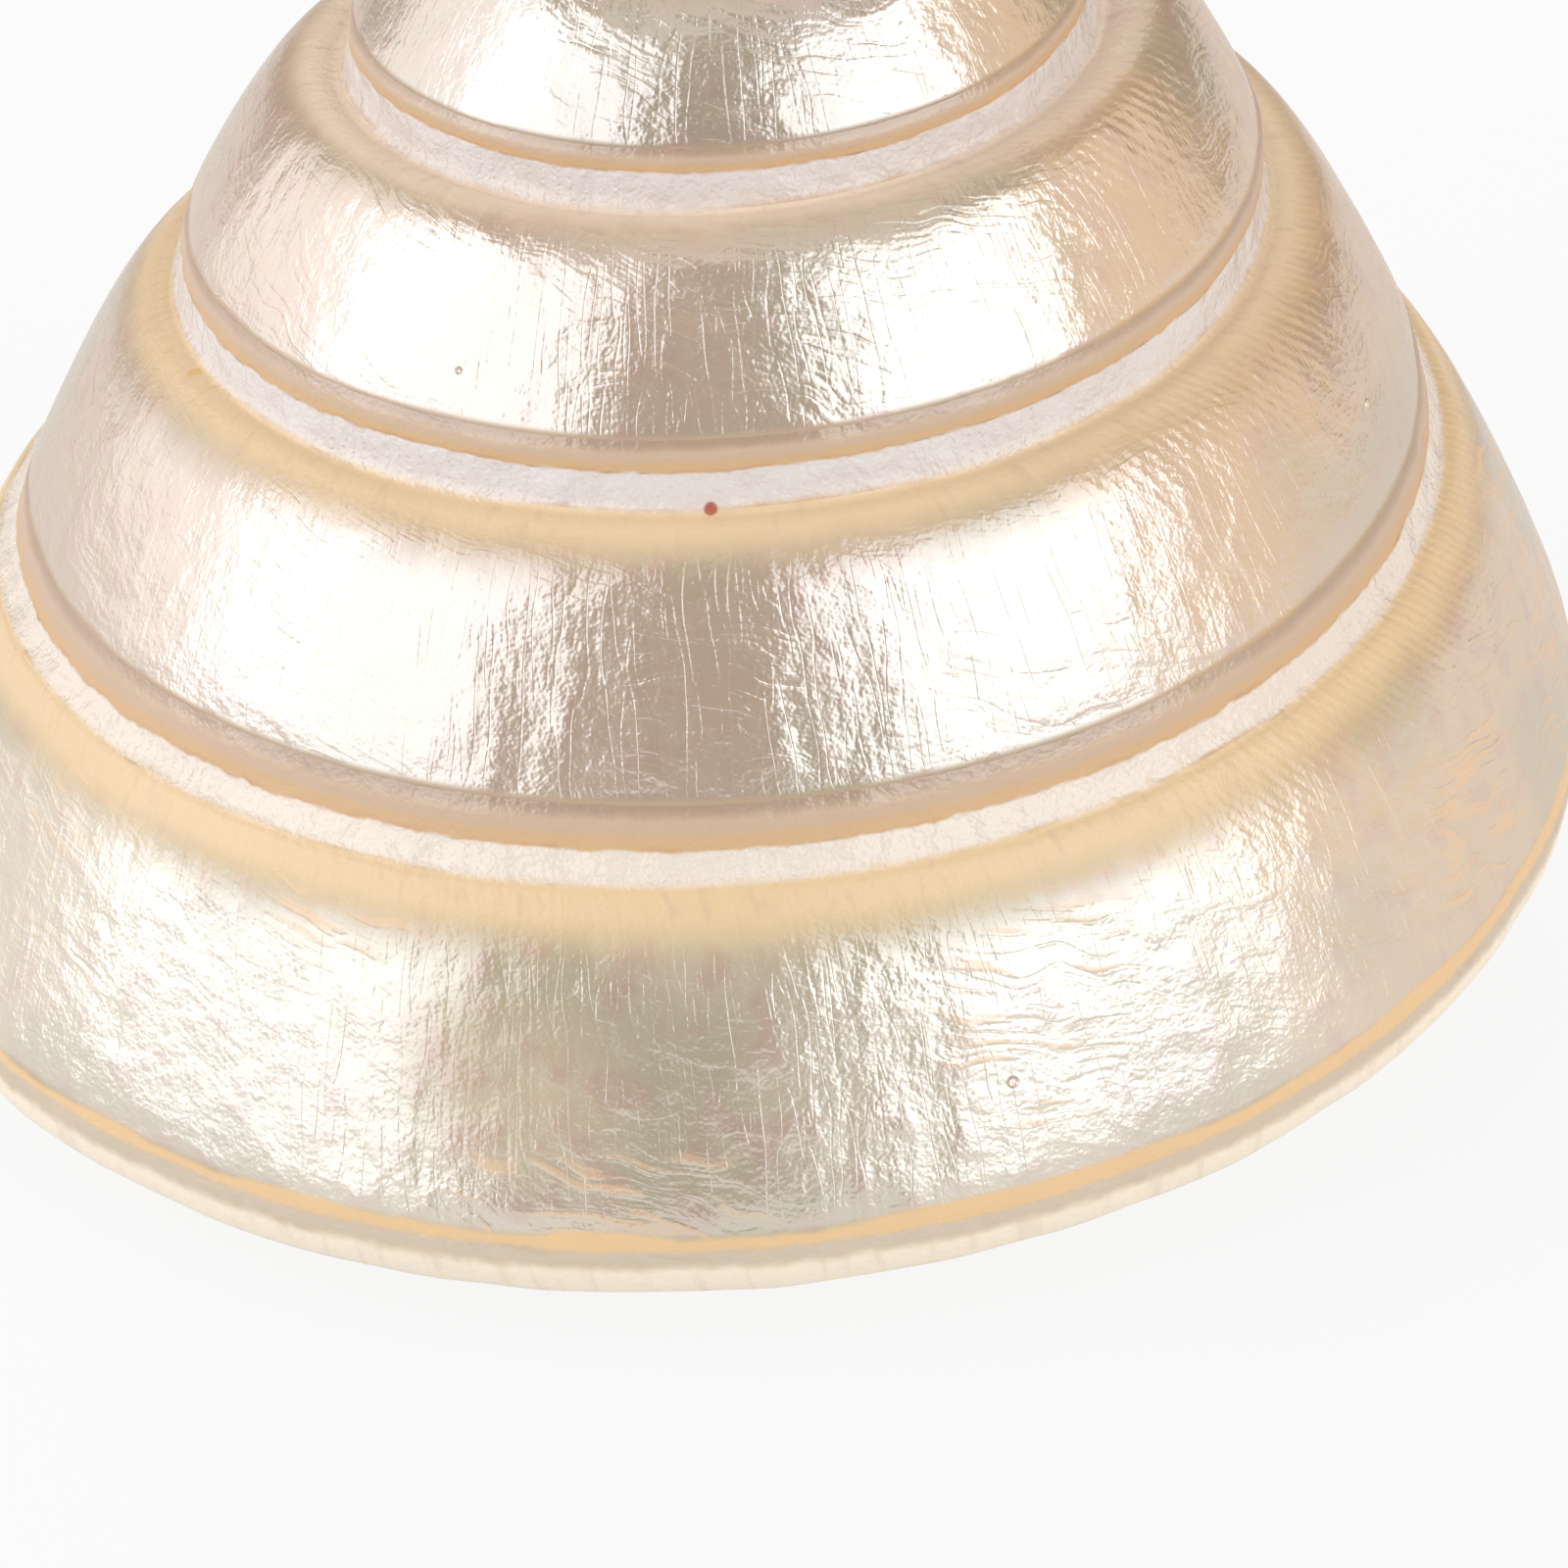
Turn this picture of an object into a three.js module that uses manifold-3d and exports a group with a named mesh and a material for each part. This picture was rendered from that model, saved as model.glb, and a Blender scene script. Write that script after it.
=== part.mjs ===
// A polished conical turban shell with a right-handed spiral, standing on its base.
// Millimetres, +Z up. The shell is worked out about its coiling axis, with the apex at
// the origin, then leaned onto its base and set on the floor.
import * as THREE from 'three';
import Module from 'manifold-3d';

const TURN = 2 * Math.PI;

// The suture: the line on which each whorl meets the one above it.
const REACH = 25.7;
const DROP = 32.84;
const DROP_POWER = 1.478;
const GROWTH_PER_TURN = 0.1056;
const GROWTH_AT_APEX = 1.0548;
const NUCLEUS = 0.039;
const NUCLEUS_RADIUS = 0.25;
const FIRST_TURN = 0;
const LIP_TURN = 5.5;

// The whorl's outline, in chords of the suture: along the chord and out from it.
const MIDDLE_WHORL = 4;
const SHAPED_WHORLS = [2.6, 5.2];
const CORNER = { along: 0.7915, out: 0.0446, alongPerTurn: -0.0053, outPerTurn: -0.0861 };
const CREVICE = { along: 0.9063, out: -0.0003, alongPerTurn: 0.0349, outPerTurn: -0.0774 };
const TOP_TANGENT = { length: 0.1232, lengthPerTurn: -0.0731, angle: 1.1415, anglePerTurn: -0.1922 };
const CORNER_TANGENT = { length: 0.6437, lengthPerTurn: -0.107, angle: -0.1528, anglePerTurn: 0.0292 };

// The keel's rounded rim and the base, at the size of the fifth turn.
const FIFTH_CHORD = 9.31;
const RIM_FLARE = 0.22;
const RIM_DROP = 0.66;
const RIM_WIDTH = 4.1;
const RIM_DEPTH = 2.1;
const BASE_CENTRE_Z = -28.5;
const BASE_CURVE = 2;

// The mouth: how far the lip slants back, and the hollow behind it.
const SLANT_STEPS = 5;
const SLANT_AT_CORNER = 0.8;
const SLANT_AT_RIM = 0.95;
const HOLLOW_DEPTH = 0.47;
const HOLLOW_AHEAD = 0.07;
const HOLLOW_TAPER = 0.2;
const WALL_AT_LIP = 0.9;
const WALL_INSIDE = 1.3;
const ROOF_WALL = 0.45;
const FLOOR_SHARES = [0.2, 0.4, 0.55];
const ROOF_SHARES = [0.42, 0.22, 0];
const SIDE_SHARES = [0.18, 0.4, 0.7, 1];
const RIM_SHARES = [0.2, 0.6, 1];

// How the shell leans when it rests on its base.
const LEAN_FORWARD = THREE.MathUtils.degToRad(4.2);
const LEAN_RIGHT = THREE.MathUtils.degToRad(2.8);

// Facets.
const STEPS_PER_TURN = 60;
const BULGE_STEPS = 5;
const UNDERCUT_STEPS = 2;
const BAND_STEPS = 2;
const RIM_STEPS = 4;
const BASE_STEPS = 5;
const HOLLOW_STEPS = 30;

const SLANT = SLANT_STEPS / STEPS_PER_TURN;
const RIBBON_STEPS = BULGE_STEPS + UNDERCUT_STEPS + BAND_STEPS;
const UNDER_STEPS = RIM_STEPS + BASE_STEPS;

// Growth rises almost evenly with the turns, and dies away softly at the nucleus.
function growth(turns) {
  const rise = Math.exp(GROWTH_PER_TURN * turns) - GROWTH_AT_APEX;
  return NUCLEUS * Math.log1p(Math.exp(rise / NUCLEUS));
}

// The suture's point in the half-plane through the axis: x is the radius, y the height.
// Inside the nucleus it is drawn in to the apex.
function suture(turns) {
  const grown = growth(turns);
  if (REACH * grown < NUCLEUS_RADIUS) {
    return new THREE.Vector2(0, 0);
  }
  return new THREE.Vector2(REACH * grown, -DROP * grown ** DROP_POWER);
}

function chord(turns) {
  return suture(turns + 1).sub(suture(turns));
}

function sizeAt(turns) {
  return chord(turns).length() / FIFTH_CHORD;
}

// Turns past the middle whorl, for the values that change from whorl to whorl.
function whorlAge(turns) {
  return THREE.MathUtils.clamp(turns, ...SHAPED_WHORLS) - MIDDLE_WHORL;
}

// A point given in chords of the suture: along the chord and out from it.
function onChord(turns, along, out) {
  const run = chord(turns);
  const start = suture(turns);
  return new THREE.Vector2(
    start.x + run.x * along - run.y * out,
    start.y + run.y * along + run.x * out,
  );
}

function landmark(turns, mark) {
  const age = whorlAge(turns);
  return [mark.along + mark.alongPerTurn * age, mark.out + mark.outPerTurn * age];
}

function tangent(turns, handle) {
  const age = whorlAge(turns);
  const length = handle.length + handle.lengthPerTurn * age;
  const angle = handle.angle + handle.anglePerTurn * age;
  return [length * Math.cos(angle), length * Math.sin(angle)];
}

function mix(from, to, share) {
  return from.map((value, i) => value + (to[i] - value) * share);
}

// The swollen side of a whorl, from the suture down to its corner.
function bulge(turns, share) {
  const corner = landmark(turns, CORNER);
  const top = tangent(turns, TOP_TANGENT);
  const end = tangent(turns, CORNER_TANGENT);
  const curve = new THREE.CubicBezierCurve(
    new THREE.Vector2(0, 0),
    new THREE.Vector2(...top),
    new THREE.Vector2(corner[0] - end[0], corner[1] - end[1]),
    new THREE.Vector2(...corner),
  );
  const point = curve.getPoint(share);
  return onChord(turns, point.x, point.y);
}

// Below the corner of a covered whorl: the undercut, then the pale band to the suture.
function undercut(turns, share) {
  return onChord(turns, ...mix(landmark(turns, CORNER), landmark(turns, CREVICE), share));
}

function band(turns, share) {
  return onChord(turns, ...mix(landmark(turns, CREVICE), [1, 0], share));
}

// Below the keel of the last whorl: the rounded rim, an ellipse's quarter.
function rim(turns, share) {
  const keel = bulge(turns, 1);
  const size = sizeAt(turns);
  const angle = (share * Math.PI) / 2;
  return new THREE.Vector2(
    keel.x + size * (RIM_FLARE - RIM_WIDTH * (1 - Math.cos(angle))),
    keel.y - size * (RIM_DROP + RIM_DEPTH * Math.sin(angle)),
  );
}

// The base, from the rim in to the closed centre.
function base(turns, share) {
  const edge = rim(turns, 1);
  const reach = 1 - share;
  return new THREE.Vector2(
    edge.x * reach,
    BASE_CENTRE_Z + (edge.y - BASE_CENTRE_Z) * reach ** BASE_CURVE,
  );
}

// A half-plane point set at its turn round the axis: whole turns face the front, -Y.
function around(turns, point) {
  const angle = TURN * turns;
  return new THREE.Vector3(-point.x * Math.sin(angle), -point.x * Math.cos(angle), point.y);
}

// One point of a whorl's ribbon. Rows run from the suture to the next suture, and slant
// back against the growth as the growth lines do.
function ribbonPoint(column, row) {
  const cornerRow = BULGE_STEPS;
  const creviceRow = cornerRow + UNDERCUT_STEPS;
  if (row <= cornerRow) {
    const share = row / BULGE_STEPS;
    const turns = turnsOf(column) - SLANT * SLANT_AT_CORNER * share;
    return { turns, point: bulge(turns, share) };
  }
  const beyond = (row - cornerRow) / (RIBBON_STEPS - cornerRow);
  const turns = turnsOf(column) - SLANT * THREE.MathUtils.lerp(SLANT_AT_CORNER, 1, beyond);
  if (row <= creviceRow) {
    return { turns, point: undercut(turns, (row - cornerRow) / UNDERCUT_STEPS) };
  }
  return { turns, point: band(turns, (row - creviceRow) / BAND_STEPS) };
}

// One point under the last whorl. Rows run from the keel to the centre of the base.
function underPoint(column, row) {
  if (row <= RIM_STEPS) {
    const share = row / RIM_STEPS;
    const slant = SLANT * THREE.MathUtils.lerp(SLANT_AT_CORNER, SLANT_AT_RIM, share);
    const turns = turnsOf(column) - slant;
    return { turns, point: rim(turns, (row - 1) / (RIM_STEPS - 1)) };
  }
  const turns = turnsOf(column) - SLANT * SLANT_AT_RIM;
  return { turns, point: base(turns, (row - RIM_STEPS) / BASE_STEPS) };
}

// Columns are numbered from the last one that lies wholly at the apex.
const LAST_COLUMN = Math.round((LIP_TURN - FIRST_TURN + 1) * STEPS_PER_TURN);
const COVERED_COLUMN = LAST_COLUMN - STEPS_PER_TURN + SLANT_STEPS;

function turnsOf(column) {
  return FIRST_TURN - 1 + column / STEPS_PER_TURN;
}

// Points that are welded where they fall together, with the faces between them.
class Skin {
  constructor() {
    this.points = [];
    this.faces = [];
    this.known = new Map();
  }

  add(point) {
    const key = [point.x, point.y, point.z].map((value) => Math.round(value * 1e4)).join();
    if (!this.known.has(key)) {
      this.known.set(key, this.points.length);
      this.points.push(point);
    }
    return this.known.get(key);
  }

  face(a, b, c) {
    if (a !== b && b !== c && c !== a) {
      this.faces.push(a, b, c);
    }
  }

  quad(a, b, c, d) {
    this.face(a, b, c);
    this.face(a, c, d);
  }

  solid(wasm) {
    const vertProperties = new Float32Array(this.points.flatMap((p) => [p.x, p.y, p.z]));
    const triVerts = new Uint32Array(this.faces);
    return new wasm.Manifold(new wasm.Mesh({ numProp: 3, vertProperties, triVerts }));
  }
}

function ribbonVertex(skin, column, row) {
  if (row === RIBBON_STEPS) {
    return ribbonVertex(skin, column + STEPS_PER_TURN - SLANT_STEPS, 0);
  }
  const { turns, point } = ribbonPoint(column, row);
  return skin.add(around(turns, point));
}

function underVertex(skin, column, row) {
  if (row === 0) {
    return ribbonVertex(skin, column, BULGE_STEPS);
  }
  const { turns, point } = underPoint(column, row);
  return skin.add(around(turns, point));
}

function strip(skin, vertex, columns, rows) {
  for (let column = columns[0]; column < columns[1]; column += 1) {
    for (let row = rows[0]; row < rows[1]; row += 1) {
      skin.quad(
        vertex(skin, column, row),
        vertex(skin, column + 1, row),
        vertex(skin, column + 1, row + 1),
        vertex(skin, column, row + 1),
      );
    }
  }
}

// The share of a line's length that is passed at each of its points.
function progress(line) {
  const passed = [0];
  for (let i = 1; i < line.length; i += 1) {
    passed.push(passed[i - 1] + line[i].distanceTo(line[i - 1]));
  }
  return passed.map((length) => length / passed.at(-1));
}

// Faces between two lines of vertices that share their first and last one.
function zip(skin, left, right) {
  const leftProgress = progress(left.map((vertex) => skin.points[vertex]));
  const rightProgress = progress(right.map((vertex) => skin.points[vertex]));
  let i = 0;
  let j = 0;
  while (i < left.length - 1 || j < right.length - 1) {
    const leftIsNext = (leftProgress[i + 1] ?? Infinity) <= (rightProgress[j + 1] ?? Infinity);
    if (leftIsNext) {
      skin.face(left[i + 1], left[i], right[j]);
      i += 1;
    } else {
      skin.face(right[j + 1], left[i], right[j]);
      j += 1;
    }
  }
}

function countUp(from, to) {
  return Array.from({ length: to - from + 1 }, (_, i) => from + i);
}

// The face at the mouth closes the step between the last turn and the one above it.
function mouthFace(skin) {
  const lip = [
    ...countUp(BULGE_STEPS, RIBBON_STEPS).map((row) => ribbonVertex(skin, COVERED_COLUMN, row)),
    ...countUp(1, BULGE_STEPS).map((row) => ribbonVertex(skin, LAST_COLUMN, row)),
    ...countUp(1, UNDER_STEPS).map((row) => underVertex(skin, LAST_COLUMN, row)),
  ];
  const roof = countUp(0, UNDER_STEPS).map((row) => underVertex(skin, COVERED_COLUMN, row));
  zip(skin, lip, roof);
}

function outerSolid(wasm) {
  const skin = new Skin();
  strip(skin, ribbonVertex, [0, COVERED_COLUMN], [0, RIBBON_STEPS]);
  strip(skin, ribbonVertex, [COVERED_COLUMN, LAST_COLUMN], [0, BULGE_STEPS]);
  strip(skin, underVertex, [COVERED_COLUMN, LAST_COLUMN], [0, UNDER_STEPS]);
  mouthFace(skin);
  return skin.solid(wasm);
}

// A point drawn in towards the middle of the hollow by a wall's thickness.
function drawnIn(point, middle, wall) {
  const reach = middle.distanceTo(point);
  return middle.clone().lerp(point, (reach - wall) / reach);
}

// The hollow inside the last whorl at one turn: the whorl's side, rim and floor, then the
// whorl above as its roof, all drawn in by the wall.
function hollowOutline(turns, wall) {
  const outside = [
    ...SIDE_SHARES.map((share) => bulge(turns, share)),
    ...RIM_SHARES.map((share) => rim(turns, share)),
    ...FLOOR_SHARES.map((share) => base(turns, share)),
  ];
  const above = [
    ...ROOF_SHARES.map((share) => base(turns - 1, share)),
    rim(turns - 1, 0.4),
  ];
  const middle = new THREE.Vector2();
  const count = outside.length + above.length;
  [...outside, ...above].forEach((point) => middle.addScaledVector(point, 1 / count));
  return [
    ...outside.map((point) => drawnIn(point, middle, wall)),
    ...above.map((point) => drawnIn(point, middle, ROOF_WALL)),
  ];
}

// The hollow is a curved tube that follows the last whorl in from the lip and narrows.
function hollowRing(depth) {
  const turns = LIP_TURN + HOLLOW_AHEAD - depth * (HOLLOW_DEPTH + HOLLOW_AHEAD);
  const outline = hollowOutline(turns, THREE.MathUtils.lerp(WALL_AT_LIP, WALL_INSIDE, depth));
  const middle = new THREE.Vector2();
  outline.forEach((point) => middle.addScaledVector(point, 1 / outline.length));
  const narrowing = (1 - HOLLOW_TAPER * depth) * Math.sqrt(1 - depth ** 8);
  return outline.map((point) => around(turns, middle.clone().lerp(point, narrowing)));
}

function hollowSolid(wasm) {
  const skin = new Skin();
  const rings = countUp(0, HOLLOW_STEPS).map((step) => (
    hollowRing(step / HOLLOW_STEPS).map((point) => skin.add(point))
  ));
  const sides = rings[0].length;
  for (let step = 0; step < HOLLOW_STEPS; step += 1) {
    for (let side = 0; side < sides; side += 1) {
      const next = (side + 1) % sides;
      skin.quad(
        rings[step][side],
        rings[step][next],
        rings[step + 1][next],
        rings[step + 1][side],
      );
    }
  }
  for (let side = 1; side < sides - 1; side += 1) {
    skin.face(rings[0][0], rings[0][side + 1], rings[0][side]);
  }
  return skin.solid(wasm);
}

function toGeometry(solid) {
  const mesh = solid.getMesh();
  const geometry = new THREE.BufferGeometry();
  geometry.setAttribute('position', new THREE.BufferAttribute(mesh.vertProperties, 3));
  geometry.setIndex(new THREE.BufferAttribute(mesh.triVerts, 1));
  return geometry;
}

const wasm = await Module();
wasm.setup();

const nacre = new THREE.MeshStandardMaterial({ color: 0xe6d6c2, roughness: 0.35, metalness: 0.15 });
const shell = new THREE.Mesh(toGeometry(outerSolid(wasm).subtract(hollowSolid(wasm))), nacre);
shell.name = 'shell';
shell.rotation.set(LEAN_FORWARD, LEAN_RIGHT, 0);

// Stood on the floor, with the middle of its outline over the origin.
const turbanShell = new THREE.Group();
turbanShell.add(shell);
const box = new THREE.Box3().setFromObject(shell, true);
const middle = box.getCenter(new THREE.Vector3());
shell.position.set(-middle.x, -middle.y, -box.min.z);

export default turbanShell;
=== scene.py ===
"""A polished conical turban shell that stands on its base, on a pale studio floor.

The shell is one surface. It is worked out about its coiling axis in millimetres, with the
apex at the origin and the front towards -Y, then leaned onto its base and set on the floor
in metres. Growth runs clockwise seen from above: front, left, back, right.
"""

import logging
import math
from dataclasses import dataclass, field
from enum import Enum
from functools import partial
from typing import Callable, Mapping, Sequence, Union

import bpy
import numpy as np
from mathutils import Matrix, Vector


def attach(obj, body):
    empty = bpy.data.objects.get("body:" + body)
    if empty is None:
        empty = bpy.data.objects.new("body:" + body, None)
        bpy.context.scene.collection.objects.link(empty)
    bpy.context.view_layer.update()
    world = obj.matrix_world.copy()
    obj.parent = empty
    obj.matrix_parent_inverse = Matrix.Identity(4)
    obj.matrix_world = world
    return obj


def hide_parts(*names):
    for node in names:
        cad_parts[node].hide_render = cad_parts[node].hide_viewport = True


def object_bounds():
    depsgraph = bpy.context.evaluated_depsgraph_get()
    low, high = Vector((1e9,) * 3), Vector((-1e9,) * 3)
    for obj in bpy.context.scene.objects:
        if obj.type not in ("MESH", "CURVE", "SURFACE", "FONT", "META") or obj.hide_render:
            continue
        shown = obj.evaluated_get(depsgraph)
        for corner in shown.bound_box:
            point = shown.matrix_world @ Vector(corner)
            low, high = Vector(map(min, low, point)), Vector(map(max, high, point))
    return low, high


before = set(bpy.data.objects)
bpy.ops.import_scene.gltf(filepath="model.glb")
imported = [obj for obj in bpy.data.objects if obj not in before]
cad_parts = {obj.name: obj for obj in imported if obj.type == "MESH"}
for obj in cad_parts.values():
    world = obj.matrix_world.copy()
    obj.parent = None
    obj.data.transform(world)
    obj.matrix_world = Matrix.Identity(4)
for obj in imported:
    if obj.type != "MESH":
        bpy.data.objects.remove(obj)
CAD_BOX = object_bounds()

log = logging.getLogger("turban_shell")

TURN = 2 * math.pi
MM = 0.001
LATTICE = 48
Array = np.ndarray
Numbers = Union[float, Array]
Curve = Callable[[Array, Array], Array]
Colour = tuple[float, float, float, float]
Value = Union["Term", float, tuple[float, ...]]


def blend(low: Numbers, high: Numbers, share: Numbers) -> Numbers:
    """Straight mix: low at share 0, high at share 1."""
    return low + (high - low) * share


def ease(value: Numbers, start: float, end: float) -> Numbers:
    """Smooth step: 0 before start, 1 past end, 3x^2 - 2x^3 between."""
    x = np.clip((value - start) / (end - start), 0.0, 1.0)
    return x * x * (3 - 2 * x)


def lattice_noise(points: Array, seed: int) -> Array:
    """Smooth value noise between -1 and 1 with one bump to a unit.

    Random heights on a whole-number lattice, mixed by the quintic step
    6t^5 - 15t^4 + 10t^3 in each of the three directions.

    Args:
        points: Any grid of points in bumps, with three coordinates last.
        seed: Chooses the heights.

    Returns:
        The noise at each point.
    """
    heights = np.random.default_rng(seed).uniform(-1, 1, (LATTICE,) * 3)
    cell = np.floor(points).astype(int)
    t = points - cell
    u, v, w = np.moveaxis(t * t * t * (t * (t * 6 - 15) + 10), -1, 0)
    x, y, z = (
        (cell[..., axis] % LATTICE, (cell[..., axis] + 1) % LATTICE) for axis in range(3)
    )
    layers = [
        blend(*(blend(*(heights[column, row, layer] for column in x), u) for row in y), v)
        for layer in z
    ]
    return blend(*layers, w)


def add_object(name: str, data: bpy.types.ID) -> bpy.types.Object:
    """Puts new data in the scene as an object."""
    made = bpy.data.objects.new(name, data)
    bpy.context.scene.collection.objects.link(made)
    return made


class Zone(Enum):
    """Parts of the surface, each with the number where its across coordinate starts.

    The keel is only one row, at the end of its part.
    """

    SIDE = 0.0
    UNDERCUT = 1.0
    BAND = 2.0
    KEEL = 2.8
    RIM = 4.0
    BASE = 5.0
    LIP = 7.0
    HOLLOW = 8.0


@dataclass(frozen=True)
class Coil:
    """The suture, where each whorl meets the one above it, in the half-plane of the axis."""

    reach: float = 25.7
    drop: float = 32.84
    drop_power: float = 1.478
    growth_per_turn: float = 0.1056
    growth_at_apex: float = 1.0548
    nucleus: float = 0.039
    nucleus_radius: float = 0.25
    fifth_chord: float = 9.31

    def growth(self, turns: Array) -> Array:
        """Softplus of an exponential: almost even with the turns, dying away at the nucleus."""
        rise = np.exp(self.growth_per_turn * turns) - self.growth_at_apex
        return self.nucleus * np.log1p(np.exp(rise / self.nucleus))

    def suture(self, turns: Array) -> Array:
        """Radius in proportion to growth, drop as its power; the apex inside the nucleus."""
        grown = self.growth(turns)
        inside = self.reach * grown < self.nucleus_radius
        point = np.stack([self.reach * grown, -self.drop * grown**self.drop_power], -1)
        return np.where(inside[..., None], 0.0, point)

    def chord(self, turns: Array) -> Array:
        """The straight line from the suture to the suture one turn on."""
        return self.suture(turns + 1) - self.suture(turns)

    def size(self, turns: Array) -> Array:
        """The whorl's size, as a share of the fifth one's."""
        return np.linalg.norm(self.chord(turns), axis=-1) / self.fifth_chord

    def on_chord(self, turns: Array, along: Array, out: Array) -> Array:
        """A point given in chords: along the chord from the suture, and square out from it."""
        run = self.chord(turns)
        start = self.suture(turns)
        x = start[..., 0] + run[..., 0] * along - run[..., 1] * out
        y = start[..., 1] + run[..., 1] * along + run[..., 0] * out
        return np.stack([x, y], -1)


@dataclass(frozen=True)
class Mark:
    """A landmark of the whorl's outline, which drifts a little from whorl to whorl."""

    first: float
    second: float
    first_per_turn: float
    second_per_turn: float

    def at(self, age: Array) -> tuple[Array, Array]:
        """Both values at a whorl's age, in turns past the middle whorl."""
        return self.first + self.first_per_turn * age, self.second + self.second_per_turn * age


@dataclass(frozen=True)
class WhorlOutline:
    """The outline of one whorl, from its suture to the next one, then under the last whorl."""

    coil: Coil = field(default_factory=Coil)
    middle_whorl: float = 4.0
    shaped_whorls: tuple[float, float] = (2.6, 5.2)
    corner: Mark = Mark(0.7915, 0.0446, -0.0053, -0.0861)
    crevice: Mark = Mark(0.9063, -0.0003, 0.0349, -0.0774)
    top_tangent: Mark = Mark(0.1232, 1.1415, -0.0731, -0.1922)
    corner_tangent: Mark = Mark(0.6437, -0.1528, -0.107, 0.0292)
    rim_flare: float = 0.22
    rim_drop: float = 0.66
    rim_width: float = 4.1
    rim_depth: float = 2.1
    base_centre: float = -28.5
    base_curve: float = 2.0

    def age(self, turns: Array) -> Array:
        """Turns past the middle whorl, held still outside the shaped whorls."""
        return np.clip(turns, *self.shaped_whorls) - self.middle_whorl

    def side(self, turns: Array, share: Array) -> Array:
        """A cubic curve with a short steep start at the suture and a long run to the corner."""
        age = self.age(turns)
        top_length, top_angle = self.top_tangent.at(age)
        end_length, end_angle = self.corner_tangent.at(age)
        late, rest = share, 1 - share
        first, second, third = 3 * late * rest**2, 3 * late**2 * rest, late**3
        x, y = (
            first * top_length * part(top_angle)
            + second * (end - end_length * part(end_angle))
            + third * end
            for part, end in zip((np.cos, np.sin), self.corner.at(age))
        )
        return self.coil.on_chord(turns, x, y)

    def undercut(self, turns: Array, share: Array) -> Array:
        """Straight in from the corner of a covered whorl to the crevice above the band."""
        age = self.age(turns)
        ends = zip(self.corner.at(age), self.crevice.at(age))
        return self.coil.on_chord(turns, *(blend(start, end, share) for start, end in ends))

    def band(self, turns: Array, share: Array) -> Array:
        """Straight from the crevice down to the next suture."""
        along, out = self.crevice.at(self.age(turns))
        return self.coil.on_chord(turns, blend(along, 1.0, share), out * (1 - share))

    def rim(self, turns: Array, share: Array) -> Array:
        """A quarter of an ellipse that turns in under the keel."""
        keel = self.side(turns, np.ones_like(turns))
        size = self.coil.size(turns)
        angle = share * math.pi / 2
        x = keel[..., 0] + size * (self.rim_flare - self.rim_width * (1 - np.cos(angle)))
        y = keel[..., 1] - size * (self.rim_drop + self.rim_depth * np.sin(angle))
        return np.stack([x, y], -1)

    def base(self, turns: Array, share: Array) -> Array:
        """From the rim in to the axis, hollowed as the square of the radius left."""
        edge = self.rim(turns, np.ones_like(turns))
        left = 1 - share
        fall = (edge[..., 1] - self.base_centre) * left**self.base_curve
        return np.stack([edge[..., 0] * left, self.base_centre + fall], -1)


def around(turns: Array, point: Array) -> Array:
    """Turns half-plane points round the axis: x = -r sin a, y = -r cos a, z = height."""
    angle = TURN * turns
    return np.stack(
        [-point[..., 0] * np.sin(angle), -point[..., 0] * np.cos(angle), point[..., 1]], -1
    )


@dataclass(frozen=True)
class Stance:
    """How the shell leans on its base, and where its apex then is."""

    lean_forward: float = math.radians(4.2)
    lean_right: float = math.radians(2.8)
    apex: tuple[float, float, float] = (2.26936, -1.86394, 28.55327)

    def rotation(self) -> Matrix:
        """Lean to the right about Y first, then forward about X."""
        forward = Matrix.Rotation(self.lean_forward, 3, "X")
        return forward @ Matrix.Rotation(self.lean_right, 3, "Y")

    def place(self, points: Array) -> Array:
        """Millimetres about the coiling axis to metres on the floor."""
        turned = points @ np.array(self.rotation()).T
        return (turned + np.array(self.apex)) * MM


@dataclass(frozen=True)
class Grain:
    """Noise that is pressed into the surface, with the sizes of its bumps."""

    seed: int
    depth: float
    sizes: tuple[float, float, float]

    def pressed(self, *position: Array) -> Array:
        """The noise less one, times the depth, so that it never stands out."""
        bumps = np.stack([value / size for value, size in zip(position, self.sizes)], -1)
        return (lattice_noise(bumps, self.seed) - 1) * self.depth


@dataclass(frozen=True)
class Stretch:
    """Rows of the surface on one curve of the outline, each with its slant."""

    curve: Curve
    zone: Zone
    shares: Array
    slants: Array


@dataclass(frozen=True)
class MouthPart:
    """A stretch of the mouth's outline: the curve's shares at its edge and in the room behind.

    A part one whorl back belongs to the roof, whose wall is thin. The lip is how much of the
    step forward the part takes.
    """

    curve: Curve
    edge: Array
    room: Array
    whorls_back: int = 0
    lip: Numbers = 0.0
    opens_below: bool = False


@dataclass(frozen=True)
class HollowStep:
    """How one ring of the hollow differs from the mouth's outline, as shares.

    The depth runs from 0 at the lip to 1 at the end. The wall is drawn in, and the outline
    opens into the rounder one of the room. The lip stands forward in millimetres.
    """

    depth: float
    drawn: float = 1.0
    opened_above: float = 1.0
    opened_below: float = 1.0
    forward: float = 0.0


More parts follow.
